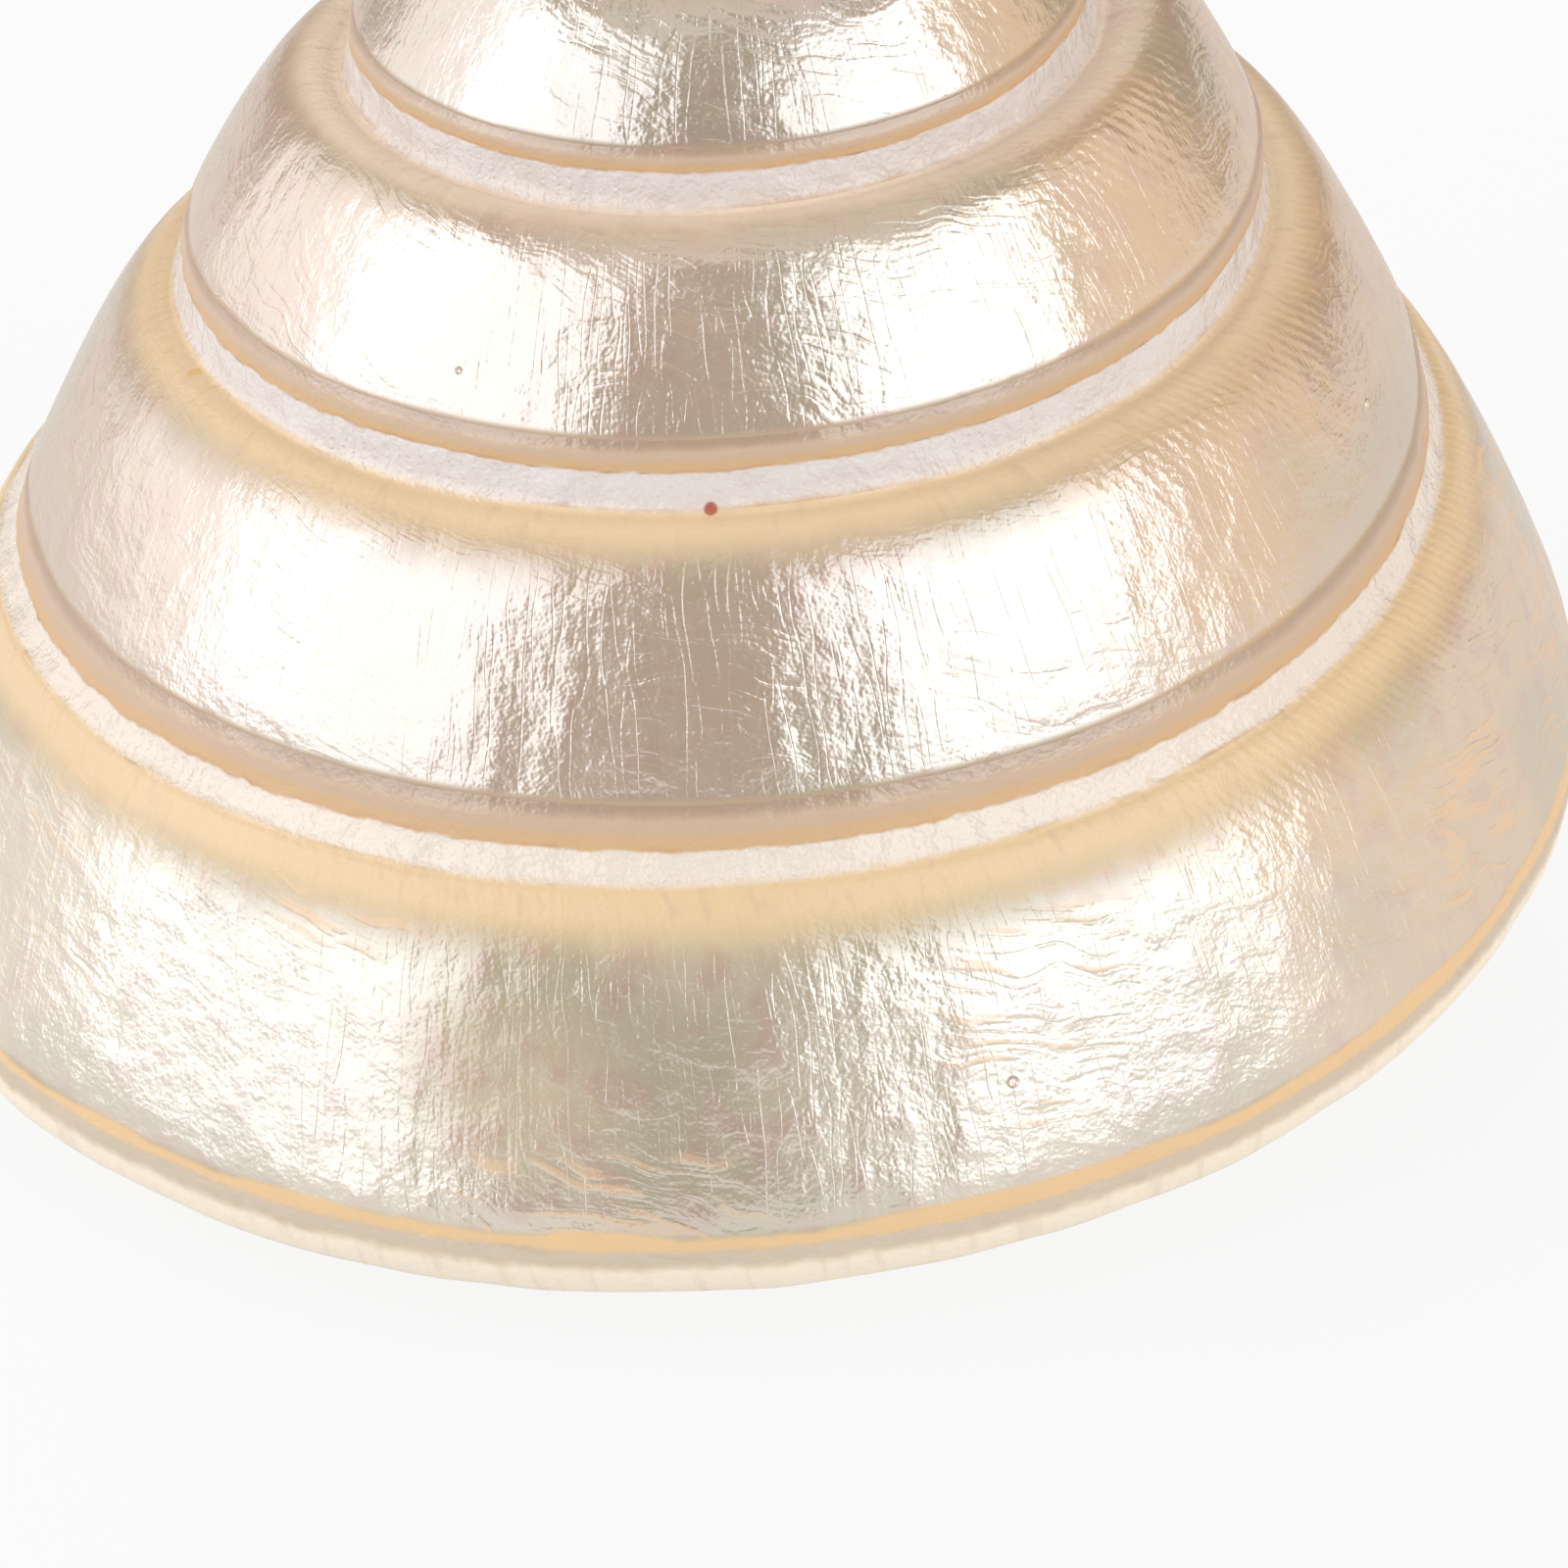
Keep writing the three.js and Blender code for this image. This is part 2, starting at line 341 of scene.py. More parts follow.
@dataclass
class Patch:
    """A grid of vertex numbers with the surface coordinates of each grid point.

    The coordinates are across, turns, along, down, from_corner and from_suture.
    """

    vertex: Array
    coordinates: Array

    @classmethod
    def of(cls, vertex: Array, *coordinates: Numbers) -> "Patch":
        """A patch from coordinates that are spread over its grid."""
        return cls(vertex, np.stack(np.broadcast_arrays(*coordinates), -1))

    def cut(self, columns: slice, rows: slice) -> "Patch":
        """A part of the patch."""
        return Patch(self.vertex[columns, rows], self.coordinates[columns, rows])

    def triangles(self) -> tuple[Array, Array]:
        """Cuts each cell in two and leaves out the cells that have closed up.

        Returns:
            The triangles' vertex numbers, and the coordinates at their corners.
        """
        place = np.arange(self.vertex.size).reshape(self.vertex.shape)
        a, b, c, d = place[:-1, :-1], place[1:, :-1], place[1:, 1:], place[:-1, 1:]
        halves = (a, b, c), (a, c, d)
        corners = np.concatenate([np.stack(half, -1).reshape(-1, 3) for half in halves])
        faces = self.vertex.ravel()[corners]
        whole = (faces != np.roll(faces, 1, axis=1)).all(axis=1)
        flat = self.coordinates.reshape(self.vertex.size, -1)
        return faces[whole], flat[corners[whole].ravel()]


def smooth_rows(points: Array, weights: Array, passes: int) -> Array:
    """Rounds a grid along its rows: each point moves towards the middle of its neighbours.

    Args:
        points: The grid, columns by rows by coordinates.
        weights: How far each row moves in one pass, from 0 to 1.
        passes: The number of passes.

    Returns:
        The rounded grid. Its first and last rows stay.
    """
    result = points.copy()
    for _ in range(passes):
        middle = (result[:, :-2] + result[:, 2:]) / 2
        result[:, 1:-1] += (middle - result[:, 1:-1]) * weights[None, 1:-1, None]
    return result


def lengths(points: Array) -> Array:
    """The length passed along each row of a grid, from its first point."""
    steps = np.linalg.norm(np.diff(points, axis=1), axis=-1)
    return np.concatenate([np.zeros((len(points), 1)), np.cumsum(steps, axis=1)], axis=1)


def grid_normals(points: Array) -> Array:
    """Unit normals of a grid: the cross product of the steps along columns and rows."""
    normal = np.cross(np.gradient(points, axis=0), np.gradient(points, axis=1))
    size = np.linalg.norm(normal, axis=-1, keepdims=True)
    return normal / np.maximum(size, 1e-9)


def uneven(steps: int, crowding: float) -> Array:
    """Shares from 0 to 1 that crowd at both ends, by a mix of even and cosine steps."""
    even = np.linspace(0, 1, steps + 1)
    return blend(even, 0.5 - 0.5 * np.cos(math.pi * even), crowding)


@dataclass
class TurbanShell:
    """The whole shell: spire, band, keel, base, lip and the hollow behind the mouth."""

    outline: WhorlOutline = field(default_factory=WhorlOutline)
    stance: Stance = field(default_factory=Stance)
    lip_turn: float = 5.5
    steps_per_turn: int = 300
    slant_steps: int = 25
    side_steps: int = 24
    side_crowding: float = 0.6
    undercut_steps: int = 5
    band_steps: int = 6
    rim_steps: int = 12
    base_steps: int = 26
    slant_at_corner: float = 0.8
    slant_at_crevice: float = 0.9
    slant_at_rim: float = 0.95
    rounding_passes: int = 5
    keel_reach: int = 5
    apex_weld: float = 0.02
    folds: Grain = Grain(3, 0.028, (1.5, 8, 1))
    wrinkles: Grain = Grain(5, 0.01, (0.75, 6, 1))
    wrinkle_slant: float = 0.3
    dents: Grain = Grain(7, 0.035, (3.6, 3.6, 3.6))
    band_lumps: Grain = Grain(9, 0.022, (1.1, 1.1, 1.1))
    corner_lumps: Grain = Grain(9, 0.016, (1.1, 1.1, 1.1))
    corner_reach: float = 1.4
    base_folds: Grain = Grain(11, 0.025, (1.2, 6, 1))
    cord_spacing: float = 2.3
    cord_depth: float = 0.05
    hollow_depth: float = 0.47
    hollow_taper: float = 0.2
    hollow_steps: int = 44
    lip_wall: float = 0.9
    inner_wall: float = 1.3
    roof_wall: float = 0.45
    lip_rounding: tuple[HollowStep, ...] = (
        HollowStep(0.0, 0.16, 0.0, 0.35, 0.1),
        HollowStep(0.0, 0.4, 0.12, 0.6, 0.18),
        HollowStep(0.0, 0.68, 0.4, 0.8, 0.18),
        HollowStep(0.0, 0.9, 0.75, 0.95, 0.1),
    )
    room_top: float = 0.18
    room_floor: float = 0.55
    room_roof: float = 0.42
    room_brow: float = 0.4
    far_off: float = 5.0
    grain_seed: int = 21
    slow_grain: Mapping[str, float] = field(
        default_factory=lambda: {"wave": 2.2, "wrinkled": 3.6, "grown": 3.0, "broad": 3.4}
    )

    def __post_init__(self) -> None:
        """Works out the derived counts and the rows' shares of their curves."""
        self.slant = self.slant_steps / self.steps_per_turn
        self.ribbon_rows = self.side_steps + self.undercut_steps + self.band_steps
        self.whorl = self.steps_per_turn - self.slant_steps
        self.last = round((self.lip_turn + 1) * self.steps_per_turn)
        self.covered = self.last - self.whorl
        self.side = uneven(self.side_steps, self.side_crowding)
        self.undercut, self.band, self.base = (
            np.linspace(0, 1, steps + 1)[1:]
            for steps in (self.undercut_steps, self.band_steps, self.base_steps)
        )
        self.rim = np.linspace(0, 1, self.rim_steps)
        shelf_rows = self.undercut_steps + self.band_steps
        self.shelf = np.arange(shelf_rows) / shelf_rows

    def strip(
        self, columns: Array, stretches: Sequence[Stretch]
    ) -> tuple[Array, Array, Array]:
        """Lays stretches of the outline side by side, slanted back against the growth.

        Args:
            columns: Column numbers, counted from one turn before the apex.
            stretches: The stretches, from the upper edge down.

        Returns:
            Points about the coiling axis, their turns, and the rows' across values.
        """
        slants = np.concatenate([stretch.slants for stretch in stretches])
        turns = (columns / self.steps_per_turn - 1)[:, None] - self.slant * slants[None]
        shapes, first = [], 0
        for stretch in stretches:
            after = first + len(stretch.shares)
            shapes.append(stretch.curve(turns[:, first:after], stretch.shares[None]))
            first = after
        across = np.concatenate([stretch.zone.value + stretch.shares for stretch in stretches])
        return around(turns, np.concatenate(shapes, axis=1)), turns, across

    def ribbon(self) -> tuple[Array, Array, Array]:
        """The whorls' ribbon, from each suture down to the next."""
        outline, corner, crevice = self.outline, self.slant_at_corner, self.slant_at_crevice
        stretches = [
            Stretch(outline.side, Zone.SIDE, self.side, corner * self.side),
            Stretch(
                outline.undercut, Zone.UNDERCUT, self.undercut,
                blend(corner, crevice, self.undercut),
            ),
            Stretch(outline.band, Zone.BAND, self.band, blend(crevice, 1.0, self.band)),
        ]
        return self.strip(np.arange(self.last + 1), stretches)

    def under(self) -> tuple[Array, Array, Array]:
        """The rim and base of the last whorl, from its keel to the centre."""
        outline, rim_slant = self.outline, self.slant_at_rim
        slants = blend(self.slant_at_corner, rim_slant, np.linspace(0, 1, self.rim_steps + 1))
        stretches = [
            Stretch(outline.side, Zone.KEEL, np.ones(1), slants[:1]),
            Stretch(outline.rim, Zone.RIM, self.rim, slants[1:]),
            Stretch(outline.base, Zone.BASE, self.base, np.full(self.base_steps, rim_slant)),
        ]
        return self.strip(np.arange(self.covered, self.last + 1), stretches)

    @staticmethod
    def rounding(rows: int, centres: Mapping[int, float]) -> Array:
        """Weights that round a grid at some rows and, ever less, two rows to each side.

        Args:
            rows: The number of rows.
            centres: The rows to round, each with its weight.

        Returns:
            The weight of each row.
        """
        weights = np.zeros(rows)
        for centre, weight in centres.items():
            near = np.clip(1 - np.abs(np.arange(rows) - centre) / 3, 0, 1)
            weights = np.maximum(weights, weight * near)
        return weights

    def round_ribbon(self, points: Array) -> Array:
        """Rounds the corner, the crevice and the suture, with the next whorls' rows as ends."""
        ends = self.rounding_passes + 1
        columns = np.arange(len(points))
        above = points[np.clip(columns - self.whorl, 0, None)][:, self.ribbon_rows - ends : -1]
        below = points[np.clip(columns + self.whorl, None, self.last)][:, 1 : ends + 1]
        known = columns + self.whorl <= self.last
        below = np.where(known[:, None, None], below, points[:, -1:])
        whole = np.concatenate([above, points, below], axis=1)
        centres = {
            ends: 0.8,
            ends + self.side_steps: 0.9,
            ends + self.side_steps + self.undercut_steps: 0.35,
            ends + self.ribbon_rows: 0.8,
        }
        weights = self.rounding(whole.shape[1], centres)
        return smooth_rows(whole, weights, self.rounding_passes)[:, ends:-ends]

    def round_keel(self, sharp: Array, ribbon: Array, under: Array) -> Array:
        """Rounds the open whorl's corner into the rim, and not into the undercut.

        Args:
            sharp: The ribbon before it was rounded.
            ribbon: The rounded ribbon, whose open corner is replaced.
            under: The points below the keel.

        Returns:
            The points below the keel, rounded.
        """
        reach, corner = self.keel_reach, self.side_steps
        rows = np.concatenate([sharp[self.covered :, corner - reach : corner], under], axis=1)
        weights = self.rounding(rows.shape[1], {reach: 0.7, reach + 1: 0.8})
        rows = smooth_rows(rows, weights, self.rounding_passes)
        ribbon[self.covered :, corner - reach : corner + 1] = rows[:, : reach + 1]
        return rows[:, reach:]

    def build(self) -> bpy.types.Object:
        """Builds the closed surface and its coordinates as one object.

        Returns:
            The shell's object, in metres where it stands.
        """
        sharp, turns, across = self.ribbon()
        ribbon = self.round_ribbon(sharp)
        under, under_turns, under_across = self.under()
        under = self.round_keel(sharp, ribbon, under)

        # The ribbon's last row is the first row of the whorl below it.
        columns, rows = self.last + 1, self.ribbon_rows
        number = np.zeros((columns, rows + 1), int)
        number[:, :rows] = np.arange(columns * rows).reshape(columns, rows)
        number[:, :rows][np.linalg.norm(ribbon[:, :rows], axis=-1) < self.apex_weld] = 0
        number[: self.covered + 1, rows] = number[self.whorl :, 0]
        under_number = np.arange(under.shape[0] * under.shape[1]).reshape(under.shape[:2])
        under_number += columns * rows
        under_number[:, 0] = number[self.covered :, self.side_steps]
        under_number[:, -1] = under_number[0, -1]

        passed, grown = lengths(ribbon), self.growth_length(turns)
        corner_passed = passed[:, self.side_steps, None]
        from_corner = passed - corner_passed
        on_side = np.arange(rows + 1) <= self.side_steps
        from_suture = np.where(on_side, passed, passed - passed[:, -1:])
        patch = Patch.of(number, across, turns, grown, passed, from_corner, from_suture)
        under_passed, under_grown = lengths(under), self.growth_length(under_turns)
        down = under_passed + corner_passed[self.covered :]
        under_patch = Patch.of(
            under_number, under_across, under_turns, under_grown, down, under_passed, down
        )

        self.wear_side(ribbon, patch)
        self.wear_under(under, under_turns, under_passed)
        points = np.concatenate([ribbon[:, :rows].reshape(-1, 3), under.reshape(-1, 3)])
        loop = self.mouth_loop(number, under_number, 0)
        loop_turns = self.mouth_loop(turns, under_turns, 1)
        mouth_patch, mouth_points = self.mouth(loop, loop_turns, points)
        patches = [
            patch.cut(slice(0, self.covered + 1), slice(None)),
            patch.cut(slice(self.covered, None), slice(0, self.side_steps + 1)),
            under_patch,
            mouth_patch,
        ]
        return self.to_object(patches, np.concatenate([points, mouth_points]))

    def wear_side(self, ribbon: Array, patch: Patch) -> None:
        """Presses shallow growth folds, dents and wrinkles into the whorls, never outward.

        Folds are noise over the length grown, wrinkles run aslant, dents are noise in space.
        The marks die away at the nucleus, at the lip and round the mouth's outline.

        Args:
            ribbon: The ribbon's points, which are moved.
            patch: Their surface coordinates.
        """
        _, turns, grown, passed, from_corner, _ = np.moveaxis(patch.coordinates, -1, 0)
        normal = grid_normals(ribbon)
        late, middle = 3 * self.steps_per_turn, self.side_steps // 2
        if (normal[late:, middle, :2] * ribbon[late:, middle, :2]).sum() < 0:
            normal = -normal
        rows = np.arange(ribbon.shape[1])
        on_side = np.where(rows <= self.side_steps, 1.0, 0.0)
        below = ease(passed, 0.3, 2.0) * on_side
        sine, cosine = math.sin(self.wrinkle_slant), math.cos(self.wrinkle_slant)
        over, onward = grown * sine + passed * cosine, passed * sine - grown * cosine
        edge = np.exp(-((from_corner / self.corner_reach) ** 2))
        place = np.moveaxis(ribbon, -1, 0)
        depth = (
            self.folds.pressed(grown, passed, turns) * below
            + self.wrinkles.pressed(over, onward, turns) * below
            + self.dents.pressed(*place)
            + self.band_lumps.pressed(*place) * (1 - on_side)
            + self.corner_lumps.pressed(*place) * edge
        )
        column = np.arange(len(ribbon))[:, None]
        depth *= ease(turns, -0.2, 0.8) * ease(self.last - column, 2, 20)
        at_outline = 1 - ease(abs(column - self.covered), 3, 18)
        depth *= 1 - (rows >= self.side_steps) * at_outline
        ribbon += depth[..., None] * normal

    def wear_under(self, under: Array, turns: Array, passed: Array) -> None:
        """Low spiral cords, growth folds and dents on the rim and base, never outward.

        Cords are a cosine of the distance from the keel; they die away at the centre, at the
        lip and where the base comes out from under the whorl above.

        Args:
            under: The rim's and base's points, which are moved.
            turns: Their turns.
            passed: Their distances from the keel.
        """
        normal = grid_normals(under)
        if normal[:, under.shape[1] // 2, 2].mean() > 0:
            normal = -normal
        cords = (np.cos(TURN * passed / self.cord_spacing) - 1) * self.cord_depth
        depth = (
            cords * ease(passed, 3.0, 6.0)
            + self.base_folds.pressed(self.growth_length(turns), passed, turns)
            + self.dents.pressed(*np.moveaxis(under, -1, 0))
        )
        column = np.arange(len(under))[:, None]
        ends = ease(column, 2, 20) * ease(len(under) - 1 - column, 2, 20)
        centre = 1 - ease(passed / passed[:, -1:], 0.55, 0.85)
        under += (depth * ends * centre)[..., None] * normal

    def growth_length(self, turns: Array) -> Array:
        """The length grown round the middle of the whorl: 2 pi r over the turns, summed."""
        table = np.linspace(-1.5, 6, 2000)
        upper, lower = (self.outline.coil.suture(table + more)[:, 0] for more in (0, 1))
        radius = (upper + lower) / 2
        steps = (radius[1:] + radius[:-1]) / 2 * (table[1] - table[0]) * TURN
        return np.interp(turns, table, np.concatenate([[0], np.cumsum(steps)]))

    def hollow_middle(self, turns: Array) -> Array:
        """The middle of the whorl's room at a turn: the mean of points round its outline."""
        outline = self.outline
        around_room = (
            (outline.side, 0, (self.room_top, 0.4, 0.7, 1.0)),
            (outline.rim, 0, (0.2, 0.6, 1.0)),
            (outline.base, 0, (0.2, 0.4, self.room_floor)),
            (outline.base, 1, (self.room_roof, 0.22, 0.0)),
            (outline.rim, 1, (self.room_brow,)),
        )
        points = [
            curve(turns - back, np.full_like(turns, share))
            for curve, back, shares in around_room
            for share in shares
        ]
        return np.mean(points, axis=0)

    def mouth_loop(self, ribbon: Array, under: Array, more: int) -> Array:
        """Values round the mouth's outline.

        The outline runs from the corner of the whorl above across its band to the suture,
        down the lip, round the rim and base to the centre, and back along the roof.

        Args:
            ribbon: Values on the ribbon.
            under: Values below the keel.
            more: What is added to the values of the whorl above.

        Returns:
            The values in the outline's order.
        """
        corner = self.side_steps
        return np.concatenate(
            [
                ribbon[self.covered, corner : self.ribbon_rows] + more,
                ribbon[-1, : corner + 1],
                under[-1, 1:],
                under[0, -2:0:-1] + more,
            ]
        )

    def mouth(self, loop: Array, loop_turns: Array, points: Array) -> tuple[Patch, Array]:
        """The lip's edge and the hollow, as closed rings that start on the mouth's outline.

        Each ring is the outline taken back against the growth and drawn in by the wall.

        Args:
            loop: The outline's vertex numbers.
            loop_turns: The outline's turns.
            points: All points so far.

        Returns:
            The patch of rings and its new points.
        """
        outline = self.outline
        parts = [
            MouthPart(outline.side, self.side, blend(self.room_top, 1, self.side), lip=1.0),
            MouthPart(outline.rim, self.rim, self.rim, lip=1.0),
            MouthPart(
                outline.base, self.base, self.base * self.room_floor,
                lip=1 - self.base, opens_below=True,
            ),
            MouthPart(
                outline.base, self.base[-2::-1], self.base[-2::-1] * self.room_roof, 1,
                opens_below=True,
            ),
            MouthPart(outline.rim, self.rim[::-1], blend(self.room_brow, 1, self.rim)[::-1], 1),
        ]
        deep = np.linspace(0, 1, self.hollow_steps + 1)
        steps = [*self.lip_rounding, *(HollowStep(depth) for depth in deep)]
        rings = [
            self.hollow_ring(loop_turns - step.depth * self.hollow_depth, parts, step)
            for step in steps
        ]
        grid = np.stack([points[loop], *rings])
        grid[-1] = grid[-1].mean(axis=0)
        vertex = np.arange(len(grid) * len(loop)).reshape(len(grid), -1)
        vertex += len(points) - len(loop)
        vertex[0] = loop
        vertex[-1] = vertex[-1, 0]

        closed = np.append(np.arange(len(loop)), 0)
        lip = np.linspace(0, 0.8, len(self.lip_rounding) + 1)
        across = np.concatenate([Zone.LIP.value + lip, Zone.HOLLOW.value + deep])[:, None]
        back = (across - Zone.HOLLOW.value).clip(0) * self.hollow_depth
        turns = loop_turns[closed] - back
        patch = Patch.of(
            vertex[:, closed], across, turns, self.growth_length(turns),
            lengths(grid[:, closed]), self.far_off, self.far_off,
        )
        return patch, grid[1:].reshape(-1, 3)

    def hollow_ring(
        self, turns: Array, parts: Sequence[MouthPart], step: HollowStep
    ) -> Array:
        """One ring of the hollow: the mouth's outline drawn in by the wall at each turn.

        Args:
            turns: The turn of each point.
            parts: The parts of the outline that follow its shelf.
            step: How the ring differs from the outline.

        Returns:
            The ring's points about the coiling axis.
        """
        wall = blend(self.lip_wall, self.inner_wall, step.depth) * step.drawn
        roof = self.roof_wall * step.drawn
        middle = self.hollow_middle(turns)
        start = len(self.shelf)
        here, centre, one = turns[:start], middle[:start], np.ones(start)
        low = self.draw_in(self.outline.rim(here - 1, one * self.room_brow), centre, roof)
        high = self.draw_in(self.outline.side(here, one * self.room_top), centre, wall)
        edge = self.draw_in(self.shelf_edge(here), centre, roof)
        points = [blend(edge, blend(low, high, self.shelf[:, None]), step.opened_above)]
        ahead = [self.shelf]
        for part in parts:
            after = start + len(part.edge)
            back = turns[start:after] - part.whorls_back
            opened = step.opened_below if part.opens_below else step.opened_above
            place = blend(part.curve(back, part.edge), part.curve(back, part.room), opened)
            thickness = roof if part.whorls_back else wall
            points.append(self.draw_in(place, middle[start:after], thickness))
            ahead.append(np.zeros_like(part.edge) + part.lip)
            start = after
        narrow = (1 - self.hollow_taper * step.depth) * math.sqrt(1 - step.depth**8)
        ring = middle + (np.concatenate(points) - middle) * narrow
        round_axis = TURN * np.maximum(ring[:, 0], 1.0)
        return around(turns + np.concatenate(ahead) * step.forward / round_axis, ring)

    def shelf_edge(self, turns: Array) -> Array:
        """The undercut and band of the whorl above, from its corner to the suture."""
        cut = self.undercut_steps / (self.undercut_steps + self.band_steps)
        low = self.outline.undercut(turns - 1, np.clip(self.shelf / cut, 0, 1))
        high = self.outline.band(turns - 1, np.clip((self.shelf - cut) / (1 - cut), 0, 1))
        return np.where((self.shelf < cut)[:, None], low, high)

    @staticmethod
    def draw_in(points: Array, middle: Array, wall: float) -> Array:
        """Moves points towards the middle by the wall's thickness."""
        run = points - middle
        reach = np.linalg.norm(run, axis=-1, keepdims=True)
        return middle + run * (reach - wall) / reach

    def to_object(self, patches: Sequence[Patch], points: Array) -> bpy.types.Object:
        """Puts the patches into one mesh with its surface coordinates on the face corners.

        Args:
            patches: The patches, which share vertices by number.
            points: Every vertex, in millimetres about the coiling axis.

        Returns:
            The object.
        """
        faces, layers = zip(*(patch.triangles() for patch in patches))
        layer = np.concatenate(layers).astype(np.float32)
        used, compact = np.unique(np.concatenate(faces).ravel(), return_inverse=True)
        standing = np.clip(self.stance.place(points[used]), *np.array(CAD_BOX))
        mesh = bpy.data.meshes.new("turban_shell_skin")
        mesh.from_pydata(standing, [], compact.reshape(-1, 3))
        mesh.polygons.foreach_set("use_smooth", np.ones(len(mesh.polygons), bool))
        for first, name in ((0, "place"), (2, "grown")):
            uv_map = mesh.uv_layers.new(name=name)
            uv_map.data.foreach_set("uv", layer[:, first : first + 2].ravel())
        for column, name in ((4, "from_corner"), (5, "from_suture")):
            attribute = mesh.attributes.new(name, "FLOAT", "CORNER")
            attribute.data.foreach_set("value", layer[:, column].copy())
        for seed, (name, size) in enumerate(self.slow_grain.items(), self.grain_seed):
            attribute = mesh.attributes.new(name, "FLOAT", "POINT")
            grain = lattice_noise(standing / MM / size, seed)
            attribute.data.foreach_set("value", grain.astype(np.float32))
        mesh.update()
        return add_object("turban_shell", mesh)


class Graph:
    """The nodes of one material, made by name and joined by Python expressions."""

    def __init__(self, name: str) -> None:
        """Starts an empty material."""
        self.material = bpy.data.materials.new(name)
        self.material.use_nodes = True
        self.tree = self.material.node_tree
        self.tree.nodes.clear()

    def node(
        self, kind: str, inputs: Mapping[str | int, Value], **settings: str
    ) -> bpy.types.Node:
        """Makes one node.

        Args:
            kind: The node's type, without its usual prefix.
            inputs: Values or links of its sockets, by name or number.
            settings: Its properties, which are set first.

        Returns:
            The node.
        """
        made = self.tree.nodes.new("ShaderNode" + kind)
        for name, value in settings.items():
            setattr(made, name, value)
        for key, value in inputs.items():
            if isinstance(value, Term):
                self.tree.links.new(value.socket, made.inputs[key])
            else:
                made.inputs[key].default_value = value
        return made

    def term(
        self, kind: str, inputs: Mapping[str | int, Value], output: str | int = 0,
        **settings: str,
    ) -> "Term":
        """One output of a new node as a term of an expression."""
        return Term(self, self.node(kind, inputs, **settings).outputs[output])

    def math(self, operation: str, *values: Value) -> "Term":
        """One Math node."""
        return self.term("Math", dict(enumerate(values)), operation=operation)

    def distance(self, vector: "Term", point: tuple[float, float, float]) -> "Term":
        """How far a vector's end is from a point."""
        return self.term("VectorMath", {0: vector, 1: point}, "Value", operation="DISTANCE")

    def combine(self, x: Value, y: Value, z: Value) -> "Term":
        """A vector from three values."""
        return self.term("CombineXYZ", {0: x, 1: y, 2: z})

    def pair(self, name: str) -> tuple["Term", "Term"]:
        """The two values of a UV map of the piece."""
        made = self.node("SeparateXYZ", {0: self.term("UVMap", {}, uv_map=name)})
        return Term(self, made.outputs[0]), Term(self, made.outputs[1])

    def attribute(self, name: str) -> "Term":
        """A number stored on the piece."""
        return self.term("Attribute", {}, "Fac", attribute_name=name)

    def object_mm(self) -> "Term":
        """Object coordinates in millimetres."""
        place = self.term("TexCoord", {}, "Object")
        return self.term("VectorMath", {0: place, "Scale": 1 / MM}, operation="SCALE")

    def noise(
        self, vector: "Term", scale: float, detail: float, roughness: float = 0.5
    ) -> "Term":
        """Noise between about 0 and 1, with its bumps about 1 / scale apart."""
        inputs = {"Vector": vector, "Scale": scale, "Detail": detail, "Roughness": roughness}
        return self.term("TexNoise", inputs, "Fac")

    def step(self, value: "Term", start: float, end: float) -> "Term":
        """Smooth step from 0 at start to 1 at end."""
        inputs = {"Value": value, "From Min": start, "From Max": end}
        return self.term("MapRange", inputs, interpolation_type="SMOOTHSTEP")

    def mix(self, low: Value, high: Value, share: Value) -> "Term":
        """A colour mixed from two."""
        return self.term("Mix", {0: share, 6: low, 7: high}, 2, data_type="RGBA")

    def bump(self, height: "Term") -> "Term":
        """A bump of a height in millimetres."""
        return self.term("Bump", {"Height": height, "Distance": MM, "Strength": 1.0})

    def principled(self, **inputs: Value) -> "Term":
        """One Principled shader. A space in a socket's name is written as an underline."""
        named = {name.replace("_", " "): value for name, value in inputs.items()}
        return self.term("BsdfPrincipled", named)

    def layered(self, under: "Term", over: "Term", share: "Term") -> "Term":
        """Two shaders mixed by how much of the upper one shows."""
        return self.term("MixShader", {0: share, 1: under, 2: over})

    def surface(self, shader: "Term") -> bpy.types.Material:
        """Ends the material in a shader and gives it."""
        self.node("OutputMaterial", {0: shader})
        return self.material


class Term:
    """A value in a shader expression. Its operators add Math nodes."""

    def __init__(self, graph: Graph, socket: bpy.types.NodeSocket) -> None:
        """Wraps a socket."""
        self.graph, self.socket = graph, socket

    def __add__(self, other: Value) -> "Term":
        """Sum."""
        return self.graph.math("ADD", self, other)

    def __sub__(self, other: Value) -> "Term":
        """Difference."""
        return self.graph.math("SUBTRACT", self, other)

    def __rsub__(self, other: Value) -> "Term":
        """Difference from a number."""
        return self.graph.math("SUBTRACT", other, self)

    def __mul__(self, other: Value) -> "Term":
        """Product."""
        return self.graph.math("MULTIPLY", self, other)

    __radd__, __rmul__ = __add__, __mul__

    def __abs__(self) -> "Term":
        """Size without its sign."""
        return self.graph.math("ABSOLUTE", self)


def srgb(red: int, green: int, blue: int) -> Colour:
    """A screen colour as a linear one."""
    share = [value / 255 for value in (red, green, blue)]
    line = [s / 12.92 if s <= 0.04045 else ((s + 0.055) / 1.055) ** 2.4 for s in share]
    return (*line, 1.0)


@dataclass(frozen=True)
class Speck:
    """A small round mark in the skin, by where it is in millimetres on the standing shell."""

    place: tuple[float, float, float]
    radius: float
    colour: Colour = (0.0, 0.0, 0.0, 1.0)
    height: float = 0.0

    def within(self, at: "SkinPlaces", core: float) -> Term:
        """How far inside a point is: 1 in the core, which is a share of the radius."""
        away = at.g.distance(at.spot, self.place)
        return 1 - at.g.step(away, self.radius * core, self.radius)


